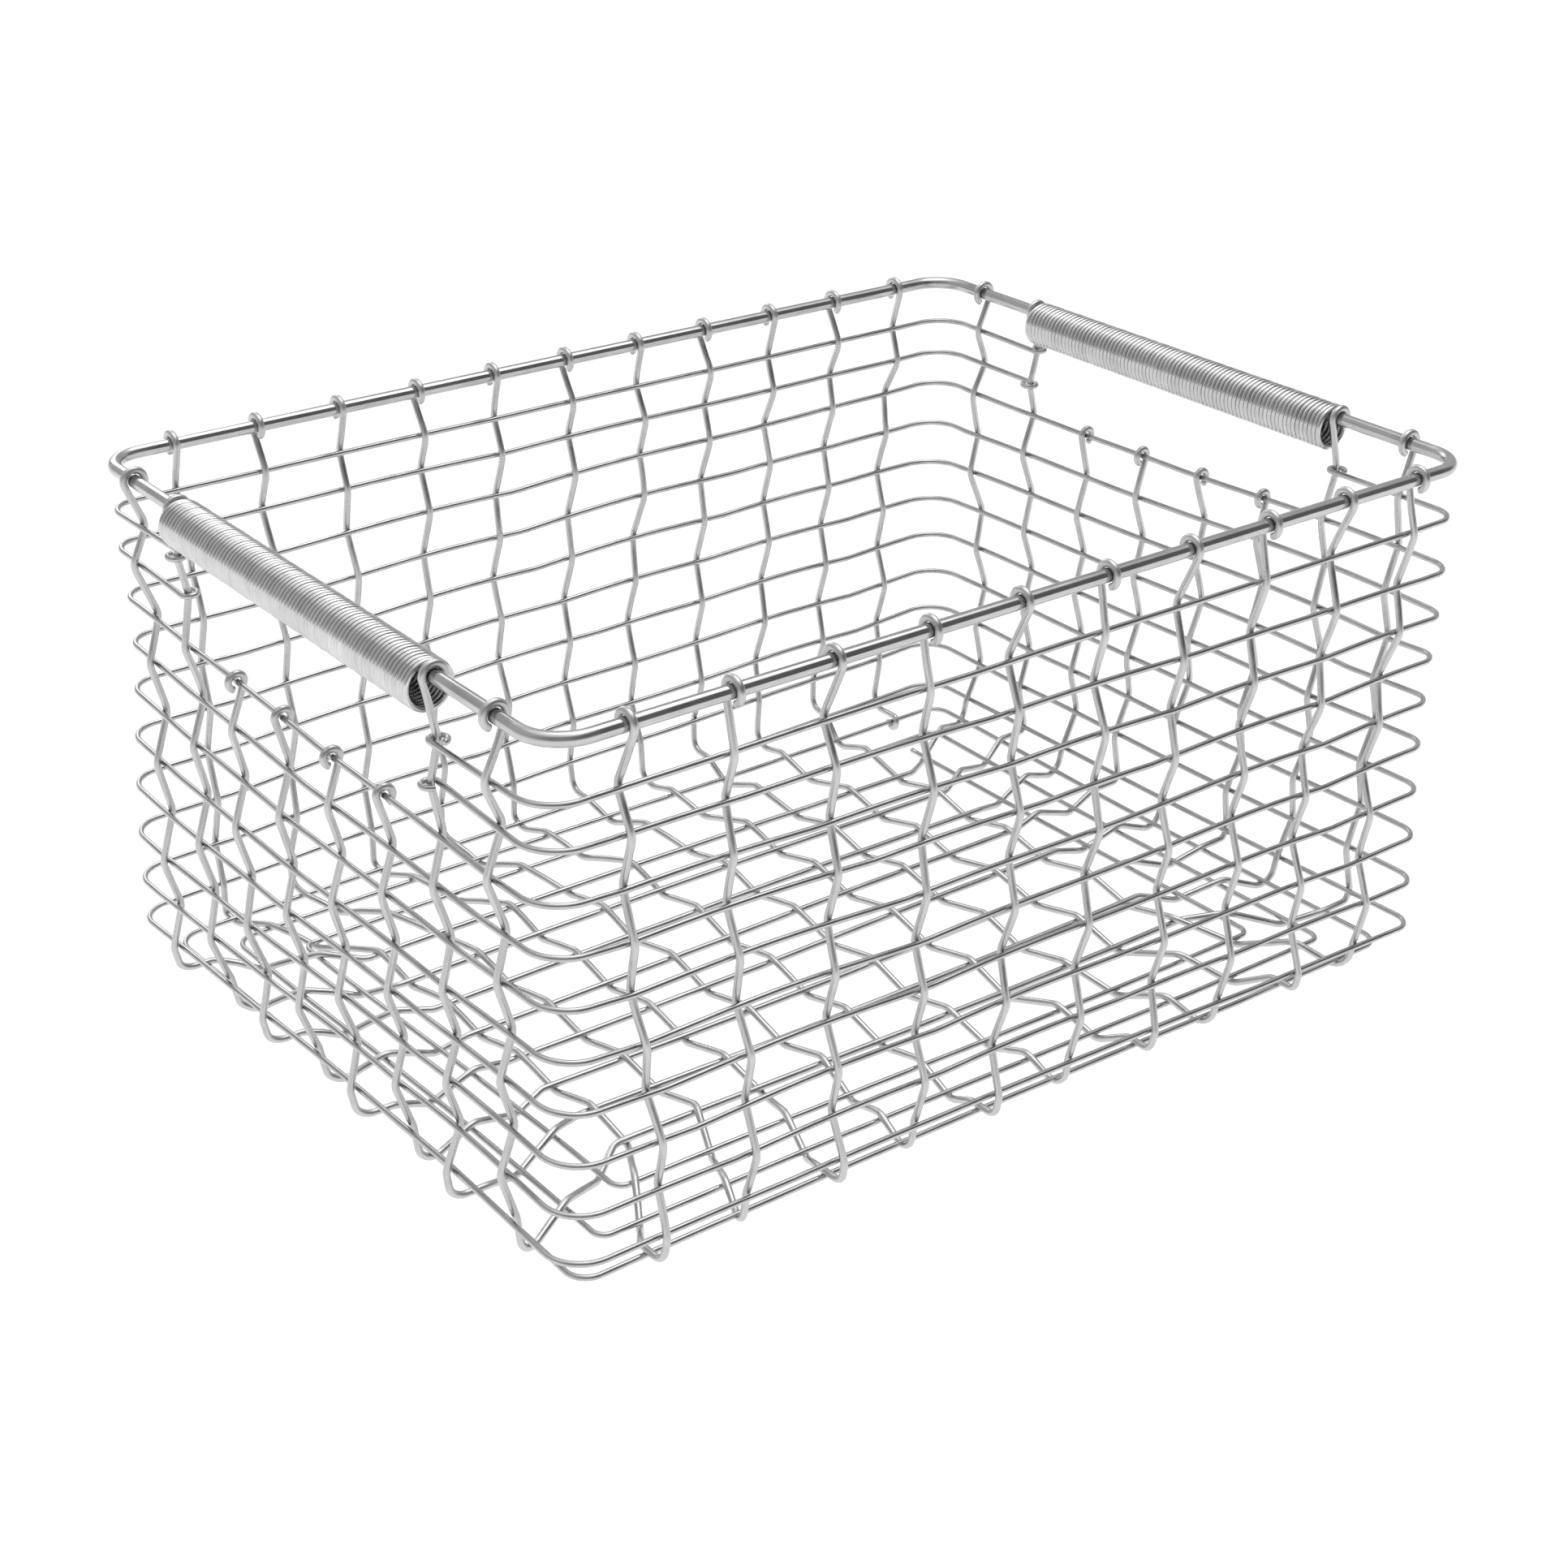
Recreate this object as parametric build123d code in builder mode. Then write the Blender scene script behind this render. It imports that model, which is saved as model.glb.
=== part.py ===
"""Woven steel wire shopping basket with two loose coil-spring grips.

Frame: X runs along the long sides, Y along the short sides, +Z is up, and the origin is the middle of
the base, on the surface that the basket stands on. All sizes are millimetres.

The weave: 18 crimped stakes hang from the rim, run down one wall, across the floor and up the opposite
wall, and one half stake ends in the floor. One thinner weft wire spirals round the walls from under the
rim down to the floor, and three short wires fill in above it. A stake passes outside the weft at every
second crossing and inside at the others.
"""

import os
from math import acos, atan2, cos, radians, sin

from build123d import *

# ---- wires
rim_wire = 6.0
stake_wire = 3.2
weft_wire = 2.6
grip_wire = 2.5
wire_gap = 0.3  # space left between wires that cross or loop round each other

# ---- rim, measured along the middle of its wire
rim_length = 480.0
rim_width = 353.0
rim_corner_radius = 18.0
rim_height = 245.66  # middle of the rim wire above the base

# ---- walls, described by the weft that lies in their middle, as depths below the rim
wall_half_length = 240.8
wall_top_half_width = 173.2
wall_flare = 0.027  # the long walls lean out by this much for each millimetre of depth
weft_corner_radius = 17.0
weft_start_depth = 44.5
weft_pitch = 22.3
turn_gap = 0.1  # the weft is cut into turns, which stop this far short of each other
wall_turns = 8  # whole turns of weft on the walls; the ninth runs into the floor
corner_share = (0.0, 0.29, 0.5, 0.79)  # how far round a turn each corner lies
front_top_depth = 26.0
back_top_depths = (38.5, 20.5)

# ---- floor rings, from the outer edge of the floor inwards
floor_depth = 240.0
ring_half_lengths = (229.0, 207.0, 182.0)
ring_half_widths = (169.0, 150.0, 127.0)
ring_corner_radii = (10.0, 6.0, 6.0)
ring_drift = 5.0  # a ring starts this much wider at the right rear corner, where the last one ends
edge_step = 2.5  # how far the weft stands off the edge ring's line where it comes in from the wall
edge_rise = 7.5  # and how far above the floor it still is there
weft_tail = 6.0  # the weft ends this far before the inner ring's last corner

# ---- stakes
front_pitch = 46.0
back_pitch = 41.3
end_pitch = 41.0
floor_cross_pitch = 35.0
floor_long_pitch = 28.6
edge_share = 0.96  # spacing at the floor's edge as a share of the spacing at the rim
cross_count = 10
long_count = 8
crimp = (stake_wire + weft_wire) / 2 + wire_gap  # middle of a stake to middle of the weft
crimp_peak = 0.15  # a bend cuts inside its corner by about this much
stake_bend = 5.0
edge_drop = 5.6  # how far below and beyond the edge ring the outer stakes turn
top_spread = 0.45  # extra room at the steep crossings just under the rim of the long walls
ring_spread = 0.8  # and at the floor rings
post_give = 0.5  # a post beside a grip leans by this share of a crossing where the eye of a wire holds it
post_spread = 0.8  # extra room beyond it, where that wire leans the other way
half_stake_foot = 90.0  # the half stake enters the floor this far beyond the last long stake

# ---- grips
grip_outer_diameter = 22.0
grip_turns = 80
post_across = 1.5 * end_pitch + end_pitch  # the stakes that bound each grip

# ---- derived values
rim_half_length = rim_length / 2
rim_half_width = rim_width / 2
cross_half_span = (long_count - 1) / 2 * floor_long_pitch
long_half_span = (cross_count - 1) / 2 * floor_cross_pitch
eye_sweep = radians(262)

FRONT, RIGHT, BACK, LEFT = "front", "right", "back", "left"


# ---- the weft's route ------------------------------------------------------------------------------


def half_width_at(depth):
    """Half the distance between the long walls at a depth below the rim."""
    return wall_top_half_width + wall_flare * depth


def ring_corner(ring, corner):
    """A corner of a floor ring; corners count from the left front one, seen from above."""
    if corner == 2:
        # the right rear corner steps in from the ring before, or from the wall
        if ring == 0:
            return wall_half_length - edge_step, ring_half_widths[0] + edge_step
        return ring_half_lengths[ring - 1], ring_half_widths[ring] + ring_drift
    x = ring_half_lengths[ring] * (1 if corner == 1 else -1)
    y = ring_half_widths[ring] * (1 if corner == 3 else -1)
    return x, y


def weft_corner(turn, corner):
    """Where the straight runs of the weft would meet at a corner, as x, y and depth."""
    on_wall = turn < wall_turns or (turn == wall_turns and corner < 2)
    if on_wall:
        depth = weft_start_depth + weft_pitch * (turn + corner_share[corner])
        x = wall_half_length * (1 if corner in (1, 2) else -1)
        y = half_width_at(depth) * (1 if corner in (2, 3) else -1)
        return x, y, depth
    ring = turn - wall_turns - (0 if corner > 1 else 1)
    x, y = ring_corner(ring, corner)
    depth = floor_depth - (edge_rise if ring == 0 and corner == 2 else 0.0)
    return x, y, depth


def weft_run(side, turn):
    """The two ends of the weft's straight run along one side."""
    if side == FRONT:
        return weft_corner(turn, 0), weft_corner(turn, 1)
    if side == RIGHT:
        if turn == wall_turns + 3:
            x, y, depth = weft_corner(turn, 1)
            return (x, y, depth), (x, -y - weft_tail, depth)
        return weft_corner(turn, 1), weft_corner(turn, 2)
    if side == BACK:
        return weft_corner(turn, 2), weft_corner(turn, 3)
    return weft_corner(turn, 3), weft_corner(turn + 1, 0)


def on_run(side, turn, across):
    """How far out and how deep the weft is at a distance along a side."""
    start, end = weft_run(side, turn)
    along, out = (0, 1) if side in (FRONT, BACK) else (1, 0)
    share = (across - start[along]) / (end[along] - start[along])
    out_at = start[out] + share * (end[out] - start[out])
    return abs(out_at), start[2] + share * (end[2] - start[2])


# ---- placing points on a side ----------------------------------------------------------------------


def place(side, across, out, depth):
    """A point given by its distance along a side, out from the middle and down from the rim."""
    z = rim_height - depth
    if side == FRONT:
        return Vector(across, -out, z)
    if side == BACK:
        return Vector(across, out, z)
    if side == LEFT:
        return Vector(-out, across, z)
    return Vector(out, across, z)


def eye(end_point, before, centre, sweep=eye_sweep):
    """Middle and end of the loop that a wire makes round a centre beside its straight end."""
    heading = (end_point - before).normalized()
    inward = centre - end_point
    reach = inward.length
    inward = inward.normalized()
    loop = []
    for angle in (sweep / 2, sweep):
        loop.append(centre + (heading * sin(angle) - inward * cos(angle)) * reach)
    return loop


def tangent_from(centre, reach, point, outer):
    """Where a straight wire from a point touches a loop, as out and depth, on the outer or inner side."""
    away_out, away_up = point[0] - centre[0], centre[1] - point[1]
    span = (away_out**2 + away_up**2) ** 0.5
    middle = atan2(away_up, away_out)
    turn = acos(reach / span)
    touches = []
    for angle in (middle + turn, middle - turn):
        touches.append((centre[0] + reach * cos(angle), centre[1] - reach * sin(angle)))
    return max(touches) if outer else min(touches)


# ---- stakes ----------------------------------------------------------------------------------------


def stake_number(side, place_in_side):
    """Stakes are numbered round the basket, from the left end of the front."""
    first = {FRONT: 1, RIGHT: cross_count + 1, BACK: cross_count + long_count + 1}
    if side == FRONT or side == RIGHT:
        return first[side] + place_in_side
    if side == BACK:
        return first[BACK] + cross_count - place_in_side
    return first[BACK] + cross_count + long_count - place_in_side


def is_outside(number, turn):
    """A stake is outside the weft at every second crossing, and so are its neighbours, turn about."""
    return (number + turn) % 2 == 1


def wires_above(side, across):
    """Depths of the short wires over the spiral at a stake, nearest the spiral first."""
    if side == FRONT:
        return [front_top_depth]
    if side == BACK:
        return list(back_top_depths)
    if abs(across) < post_across - 1:
        return None
    if side == RIGHT:
        return [front_top_depth] if across < 0 else list(back_top_depths)
    if across < 0:
        return [on_run(LEFT, -1, across)[1], front_top_depth]
    return list(back_top_depths)


def fan(side, out, depth, across):
    """Spacing of the stakes: even in the floor's middle, wider at its edge, widest at the rim."""
    at_core, at_rim = across
    core_out = cross_half_span if side in (FRONT, BACK) else long_half_span
    edge_out = (ring_half_widths if side in (FRONT, BACK) else ring_half_lengths)[0]
    at_edge = at_rim * edge_share
    if depth < floor_depth - 6:
        return at_rim + (at_edge - at_rim) * depth / floor_depth
    share = max(0.0, (out - core_out) / (edge_out - core_out))
    return at_core + (at_edge - at_core) * share


def crossing(side, turn, across):
    """Where a stake meets one turn of the weft, as across, out and depth."""
    here = across[1]
    for _ in range(4):
        out, depth = on_run(side, turn, here)
        here = fan(side, out, depth, across)
    return here, out, depth


def edge_points(side, turn, number, across):
    """A stake's turn from the wall into the floor, under or over the ring at the floor's edge."""
    here, out, depth = crossing(side, turn, across)
    if is_outside(number, turn):
        return [(here, out + edge_drop - 0.6, depth + edge_drop)]
    wall_out = half_width_at(depth) if side in (FRONT, BACK) else wall_half_length
    return [(here, out - crimp, depth - crimp - 0.1), (here, wall_out + 1.2, depth - crimp - 0.3)]


def stake_end(side, place_in_side, across, first_ring=2):
    """One stake from the floor's inner ring up to its eye: corners of its route, and the eye."""
    number = stake_number(side, place_in_side)
    edge_turn = wall_turns + (1 if side in (FRONT, RIGHT) else 0)
    reach = crimp + crimp_peak
    route = []
    for ring in range(first_ring, 0, -1):
        turn = edge_turn + ring
        here, out, depth = crossing(side, turn, across)
        drop = reach + ring_spread
        route.append((here, out, depth + (drop if is_outside(number, turn) else -drop)))
    route += edge_points(side, edge_turn, number, across)
    above = wires_above(side, across[1])
    top_turn = 0 if above is not None else 1
    for turn in range(edge_turn - 1, top_turn - 1, -1):
        here, out, depth = crossing(side, turn, across)
        route.append((here, out + (reach if is_outside(number, turn) else -reach), depth))
    if above is None:
        here, out, depth = crossing(side, 0, across)
        centre, turn, loop = (out, depth), 0, (weft_wire + stake_wire) / 2 + wire_gap
    else:
        for count, depth in enumerate(above, start=1):
            out = half_width_at(depth) if side in (FRONT, BACK) else wall_half_length
            if side in (FRONT, BACK):
                step = reach + (top_spread if count == len(above) else 0.0)
            else:
                step = reach * post_give if abs(across[1]) < post_across + 1 else reach + post_spread
            route.append((across[1], out + (step if is_outside(number, -count) else -step), depth))
        half = rim_half_width if side in (FRONT, BACK) else rim_half_length
        centre, turn, loop = (half, 0.0), -len(above) - 1, (rim_wire + stake_wire) / 2 + wire_gap
        here = across[1]
    touch = tangent_from(centre, loop, route[-1][1:], is_outside(number, turn))
    corners = [place(side, *point) for point in route]
    corners.append(place(side, here, *touch))
    return corners, eye(corners[-1], corners[-2], place(side, here, *centre))


def bends_for(corners, radius):
    """Bend radii along a route, smaller where two corners lie close together."""
    bends = []
    for before, corner, after in zip(corners, corners[1:], corners[2:]):
        shortest = min((corner - before).length, (after - corner).length)
        bends.append(min(radius, shortest * 0.55))
    return bends


def draw_wire(label, corners, radius, diameter, first_eye=None, last_eye=None):
    """One round wire: straight runs joined by bends, with an eye at either end."""
    with BuildPart() as piece:
        with BuildLine() as route:
            if first_eye:
                ThreePointArc(first_eye[1], first_eye[0], corners[0])
            if len(corners) > 2:
                FilletPolyline(*corners, radius=bends_for(corners, radius))
            else:
                Line(*corners)
            if last_eye:
                ThreePointArc(corners[-1], last_eye[0], last_eye[1])
        path = route.wire()
        with BuildSketch(Plane(origin=path @ 0, z_dir=path % 0)):
            Circle(diameter / 2)
        sweep(path=path)
    piece.part.label = label
    export_step(piece.part, f"parts/{label}.step")
    return piece.part


def cross_stake(place_in_side):
    """A stake from the front rim down, across the floor over and under the long stakes, and up the back."""
    core_x = (place_in_side - (cross_count - 1) / 2) * floor_cross_pitch
    front_x = (place_in_side - (cross_count - 1) / 2) * front_pitch
    back_x = (place_in_side - cross_count / 2) * back_pitch
    front, front_eye = stake_end(FRONT, place_in_side, (core_x, front_x))
    back, back_eye = stake_end(BACK, place_in_side, (core_x, back_x))
    lift = stake_wire + wire_gap + crimp_peak
    core = []
    for row in range(long_count):
        y = row * floor_long_pitch - cross_half_span
        over = (place_in_side + 1 + row) % 2 == 0
        core.append(Vector(core_x, y, rim_height - floor_depth + (lift if over else -lift)))
    corners = front[::-1] + core + back
    label = f"cross_stake_{place_in_side + 1:02d}"
    return draw_wire(label, corners, stake_bend, stake_wire, front_eye, back_eye)


def long_stake(place_in_side):
    """A stake from the left end down, straight along the floor, and up the right end."""
    core_y = (place_in_side - (long_count - 1) / 2) * floor_long_pitch
    rim_y = (place_in_side - (long_count - 1) / 2) * end_pitch
    left, left_eye = stake_end(LEFT, place_in_side, (core_y, rim_y))
    right, right_eye = stake_end(RIGHT, place_in_side, (core_y, rim_y))
    core_x = long_half_span + 7.0
    z = rim_height - floor_depth
    corners = left[::-1] + [Vector(-core_x, core_y, z), Vector(core_x, core_y, z)] + right
    return draw_wire(f"long_stake_{place_in_side + 1}", corners, stake_bend, stake_wire, left_eye, right_eye)


def half_stake():
    """The eleventh stake of the back wall, which ends in an eye round the floor's middle ring."""
    across = (cross_half_span + half_stake_foot, cross_count / 2 * back_pitch)
    corners, rim_eye = stake_end(BACK, cross_count, across, first_ring=0)
    here, out, depth = crossing(BACK, wall_turns + 1, across)
    loop = (weft_wire + stake_wire) / 2 + wire_gap
    edge = corners[0]
    touch = tangent_from((depth, out), loop, (rim_height - edge.Z, edge.Y), False)
    hook = Vector(here, touch[1], rim_height - touch[0])
    corners = [hook] + corners
    hook_eye = eye(hook, corners[1], place(BACK, here, out, depth))
    return draw_wire("half_stake", corners, stake_bend, stake_wire, hook_eye, rim_eye)


# ---- weft and top wires ----------------------------------------------------------------------------


def post_eye(side, across, turn, depth, heading):
    """End of a short wire: it touches the post beside the grip and loops round it."""
    number = stake_number(side, 0) + (1 if across < 0 else long_count - 2) * (1 if side == RIGHT else -1)
    loop = (weft_wire + stake_wire) / 2 + wire_gap
    outward = 1 if is_outside(number, turn) else -1
    post_out = wall_half_length + outward * loop * post_give
    touch = place(side, across, post_out - outward * loop, depth)
    before = touch - Vector(0, heading, 0)
    return touch, eye(touch, before, place(side, across, post_out, depth))


def top_wire(label, wall, depth, left_turn, right_turn):
    """A short wire along one long wall and round both its corners to the posts beside the grips."""
    direction = -1 if wall == FRONT else 1
    y = direction * half_width_at(depth)
    left_end, left_eye = post_eye(LEFT, direction * post_across, left_turn, depth, -direction)
    right_end, right_eye = post_eye(RIGHT, direction * post_across, right_turn, depth, -direction)
    left_corner = Vector(-wall_half_length, y, rim_height - depth)
    right_corner = Vector(wall_half_length, y, rim_height - depth)
    corners = [left_end, left_corner, right_corner, right_end]
    return draw_wire(label, corners, weft_corner_radius, weft_wire, left_eye, right_eye)


def weft_split(turn):
    """The point on the left wall, beside the front post, where one turn is cut from the next."""
    y = -0.88 * post_across
    out, depth = on_run(LEFT, turn, y)
    return place(LEFT, y, out, depth)


def weft_turn(turn):
    """One turn of the weft, from the left wall's front end round to the same place."""
    is_last = turn == wall_turns + 3
    corners = []
    for corner in range(2 if is_last else 4):
        x, y, depth = weft_corner(turn, corner)
        corners.append(Vector(x, y, rim_height - depth))
    first_eye = None
    if turn == 0:
        depth = on_run(LEFT, -1, -post_across)[1]
        start, first_eye = post_eye(LEFT, -post_across, -1, depth, 1)
    else:
        start = weft_split(turn - 1)
    if is_last:
        x, y, depth = weft_run(RIGHT, turn)[1]
        corners.append(Vector(x, y, rim_height - depth))
    else:
        corners.append(weft_split(turn) + Vector(0, turn_gap, 0))
    on_floor = turn - wall_turns - 1
    label = f"floor_ring_{on_floor + 1}" if on_floor >= 0 else f"weft_turn_{turn + 1}"
    radius = ring_corner_radii[on_floor] if on_floor >= 0 else weft_corner_radius
    return draw_wire(label, [start] + corners, radius, weft_wire, first_eye)


# ---- rim and grips ---------------------------------------------------------------------------------


def rim():
    """The rim: one thick wire bent to a rounded rectangle and closed."""
    corners = []
    for x, y in ((1, -1), (1, 1), (-1, 1), (-1, -1)):
        corners.append(Vector(x * rim_half_length, y * rim_half_width, rim_height))
    with BuildPart() as piece:
        with BuildLine() as route:
            FilletPolyline(*corners, radius=rim_corner_radius, close=True)
        path = route.wire()
        with BuildSketch(Plane(origin=path @ 0, z_dir=path % 0)):
            Circle(rim_wire / 2)
        sweep(path=path)
    piece.part.label = "rim"
    export_step(piece.part, "parts/rim.step")
    return piece.part


def grip(label, x):
    """A close-wound spring that hangs loose on the rim, its turns drawn as rings that touch."""
    mean_radius = (grip_outer_diameter - grip_wire) / 2
    hang = mean_radius - grip_wire / 2 - rim_wire / 2 - wire_gap
    axis_z = rim_height - hang
    half_length = grip_turns * grip_wire / 2
    with BuildPart() as piece:
        with BuildSketch(Plane.YZ.offset(x)) as section:
            with Locations((0, axis_z + mean_radius)):
                Rectangle(grip_wire * (grip_turns - 1), grip_wire * 0.5)
                with GridLocations(grip_wire, 0, grip_turns, 1):
                    Circle(grip_wire / 2)
        revolve(axis=Axis((x, 0, axis_z), (0, 1, 0)))
    piece.part.label = label
    export_step(piece.part, f"parts/{label}.step")
    return piece.part


os.makedirs("parts", exist_ok=True)
rim()
grip("left_grip_coil", -rim_half_length)
grip("right_grip_coil", rim_half_length)
top_wire("front_top_wire", FRONT, front_top_depth, -2, -1)
top_wire("back_top_wire_lower", BACK, back_top_depths[0], -1, -1)
top_wire("back_top_wire_upper", BACK, back_top_depths[1], -2, -2)
for turn_number in range(wall_turns + 4):
    weft_turn(turn_number)
for stake_place in range(cross_count):
    cross_stake(stake_place)
for stake_place in range(long_count):
    long_stake(stake_place)
half_stake()
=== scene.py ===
"""Looks of the woven wire basket: every wire as a smooth drawn-steel tube, and the grips as real springs."""

import math

import bpy
import numpy as np
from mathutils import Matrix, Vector


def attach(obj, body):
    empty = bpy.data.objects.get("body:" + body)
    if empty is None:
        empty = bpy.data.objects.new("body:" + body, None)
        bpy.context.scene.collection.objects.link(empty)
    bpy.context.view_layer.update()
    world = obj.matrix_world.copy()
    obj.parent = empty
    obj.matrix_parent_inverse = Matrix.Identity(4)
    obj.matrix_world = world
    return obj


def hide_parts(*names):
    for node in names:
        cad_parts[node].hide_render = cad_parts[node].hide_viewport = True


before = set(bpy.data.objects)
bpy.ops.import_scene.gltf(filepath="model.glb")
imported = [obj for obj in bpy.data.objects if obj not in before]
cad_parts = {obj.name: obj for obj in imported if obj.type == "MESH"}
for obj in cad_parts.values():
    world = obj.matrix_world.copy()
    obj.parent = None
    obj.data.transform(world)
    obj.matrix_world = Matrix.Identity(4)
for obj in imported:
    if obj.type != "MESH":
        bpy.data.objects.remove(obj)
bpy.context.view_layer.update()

# The sizes and routes of the wires are the frame's own, in millimetres; the meshes are made in metres.
MM = 0.001


def point(x, y, z):
    """A point of a route, in millimetres."""
    return Vector((x, y, z))


# ---- wires
rim_wire = 6.0
stake_wire = 3.2
weft_wire = 2.6
grip_wire = 2.5
wire_gap = 0.3  # space left between wires that cross or loop round each other

# ---- rim, measured along the middle of its wire
rim_length = 480.0
rim_width = 353.0
rim_corner_radius = 18.0
rim_height = 245.66  # middle of the rim wire above the base

# ---- walls, described by the weft that lies in their middle, as depths below the rim
wall_half_length = 240.8
wall_top_half_width = 173.2
wall_flare = 0.027  # the long walls lean out by this much for each millimetre of depth
weft_start_depth = 44.5
weft_pitch = 22.3
wall_turns = 8  # whole turns of weft on the walls; the ninth runs into the floor
corner_share = (0.0, 0.29, 0.5, 0.79)  # how far round a turn each corner lies
front_top_depth = 26.0
back_top_depths = (38.5, 20.5)

# ---- floor rings, from the outer edge of the floor inwards
floor_depth = 240.0
ring_half_lengths = (229.0, 207.0, 182.0)
ring_half_widths = (169.0, 150.0, 127.0)
ring_corner_radii = (10.0, 6.0, 6.0)
ring_drift = 5.0  # a ring starts this much wider at the right rear corner, where the last one ends
edge_step = 2.5  # how far the weft stands off the edge ring's line where it comes in from the wall
edge_rise = 7.5  # and how far above the floor it still is there
weft_tail = 6.0  # the weft ends this far before the inner ring's last corner

# ---- stakes
front_pitch = 46.0
back_pitch = 41.3
end_pitch = 41.0
floor_cross_pitch = 35.0
floor_long_pitch = 28.6
edge_share = 0.96  # spacing at the floor's edge as a share of the spacing at the rim
above_floor = 6.0  # stakes are spaced as on the wall down to this far above the floor
cross_count = 10
long_count = 8
crimp = (stake_wire + weft_wire) / 2 + wire_gap  # middle of a stake to middle of the weft
crimp_peak = 0.15  # a bend cuts inside its corner by about this much
edge_drop = 5.6  # how far below the edge ring the outer stakes turn
edge_reach = 5.0  # and how far beyond it
edge_clear = 1.2  # the inner stakes turn over the edge ring this far beyond the wall
edge_lift = 0.1  # extra height of an inner stake over the edge ring
edge_rise_out = 0.2  # and its further rise from there to the wall
top_spread = 0.45  # extra room at the steep crossings just under the rim of the long walls
ring_spread = 0.8  # and at the floor rings
post_give = 0.5  # a post beside a grip leans by this share of a crossing where the eye of a wire holds it
post_spread = 0.8  # extra room beyond it, where that wire leans the other way
half_stake_foot = 90.0  # the half stake enters the floor this far beyond the last long stake
bend_share = 0.55  # a bend's radius is at most this share of the shorter run beside it
long_core_margin = 7.0  # a long stake runs straight this far past the outer cross stakes

# ---- grips
grip_outer_diameter = 22.0
grip_turns = 80
post_across = 2.5 * end_pitch  # the stakes that bound each grip

# ---- derived values
rim_half_length = rim_length / 2
rim_half_width = rim_width / 2
cross_half_span = (long_count - 1) / 2 * floor_long_pitch
long_half_span = (cross_count - 1) / 2 * floor_cross_pitch

# ---- eyes
eye_sweep = math.radians(262)
eye_steps = 30
eye_opening = 0.7  # an eye on a thin wire widens by this much towards its cut end; one on the rim hugs it

FRONT, RIGHT, BACK, LEFT = "front", "right", "back", "left"


# ---- the weft's route ------------------------------------------------------------------------------


def half_width_at(depth):
    """Half the distance between the long walls at a depth below the rim."""
    return wall_top_half_width + wall_flare * depth


def ring_corner(ring, corner):
    """A corner of a floor ring; corners count from the left front one, seen from above."""
    if corner == 2:
        # the right rear corner steps in from the ring before, or from the wall
        if ring == 0:
            return wall_half_length - edge_step, ring_half_widths[0] + edge_step
        return ring_half_lengths[ring - 1], ring_half_widths[ring] + ring_drift
    x = ring_half_lengths[ring] * (1 if corner == 1 else -1)
    y = ring_half_widths[ring] * (1 if corner == 3 else -1)
    return x, y


def weft_corner(turn, corner):
    """Where the straight runs of the weft would meet at a corner, as x, y and depth."""
    on_wall = turn < wall_turns or (turn == wall_turns and corner < 2)
    if on_wall:
        depth = weft_start_depth + weft_pitch * (turn + corner_share[corner])
        x = wall_half_length * (1 if corner in (1, 2) else -1)
        y = half_width_at(depth) * (1 if corner in (2, 3) else -1)
        return x, y, depth
    ring = turn - wall_turns - (0 if corner > 1 else 1)
    x, y = ring_corner(ring, corner)
    depth = floor_depth - (edge_rise if ring == 0 and corner == 2 else 0.0)
    return x, y, depth


def weft_run(side, turn):
    """The two ends of the weft's straight run along one side."""
    if side == FRONT:
        return weft_corner(turn, 0), weft_corner(turn, 1)
    if side == RIGHT:
        if turn == wall_turns + 3:
            x, y, depth = weft_corner(turn, 1)
            return (x, y, depth), (x, -y - weft_tail, depth)
        return weft_corner(turn, 1), weft_corner(turn, 2)
    if side == BACK:
        return weft_corner(turn, 2), weft_corner(turn, 3)
    return weft_corner(turn, 3), weft_corner(turn + 1, 0)


def on_run(side, turn, across):
    """How far out and how deep the weft is at a distance along a side."""
    start, end = weft_run(side, turn)
    along, out = (0, 1) if side in (FRONT, BACK) else (1, 0)
    share = (across - start[along]) / (end[along] - start[along])
    out_at = start[out] + share * (end[out] - start[out])
    return abs(out_at), start[2] + share * (end[2] - start[2])


# ---- placing points on a side ----------------------------------------------------------------------


def place(side, across, out, depth):
    """A point given by its distance along a side, out from the middle and down from the rim."""
    z = rim_height - depth
    if side == FRONT:
        return point(across, -out, z)
    if side == BACK:
        return point(across, out, z)
    if side == LEFT:
        return point(-out, across, z)
    return point(out, across, z)


def eye(end_point, before, centre):
    """Points along the loop that a wire makes round a centre beside its straight end."""
    heading = (end_point - before).normalized()
    inward = centre - end_point
    reach = inward.length
    inward = inward.normalized()
    opening = eye_opening if reach < (rim_wire + stake_wire) / 2 else 0.0
    loop = []
    for step in range(1, eye_steps + 1):
        angle = eye_sweep * step / eye_steps
        spoke = heading * math.sin(angle) - inward * math.cos(angle)
        loop.append(centre + spoke * (reach + opening * step / eye_steps))
    return loop


def tangent_from(centre, reach, spot, outer):
    """Where a straight wire from a point touches a loop, as out and depth, on the outer or inner side."""
    away_out, away_up = spot[0] - centre[0], centre[1] - spot[1]
    span = (away_out**2 + away_up**2) ** 0.5
    middle = math.atan2(away_up, away_out)
    turn = math.acos(reach / span)
    touches = []
    for angle in (middle + turn, middle - turn):
        touches.append((centre[0] + reach * math.cos(angle), centre[1] - reach * math.sin(angle)))
    return max(touches) if outer else min(touches)


# ---- stakes ----------------------------------------------------------------------------------------


def stake_number(side, place_in_side):
    """Stakes are numbered round the basket, from the left end of the front."""
    first = {FRONT: 1, RIGHT: cross_count + 1, BACK: cross_count + long_count + 1}
    if side == FRONT or side == RIGHT:
        return first[side] + place_in_side
    if side == BACK:
        return first[BACK] + cross_count - place_in_side
    return first[BACK] + cross_count + long_count - place_in_side


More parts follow.
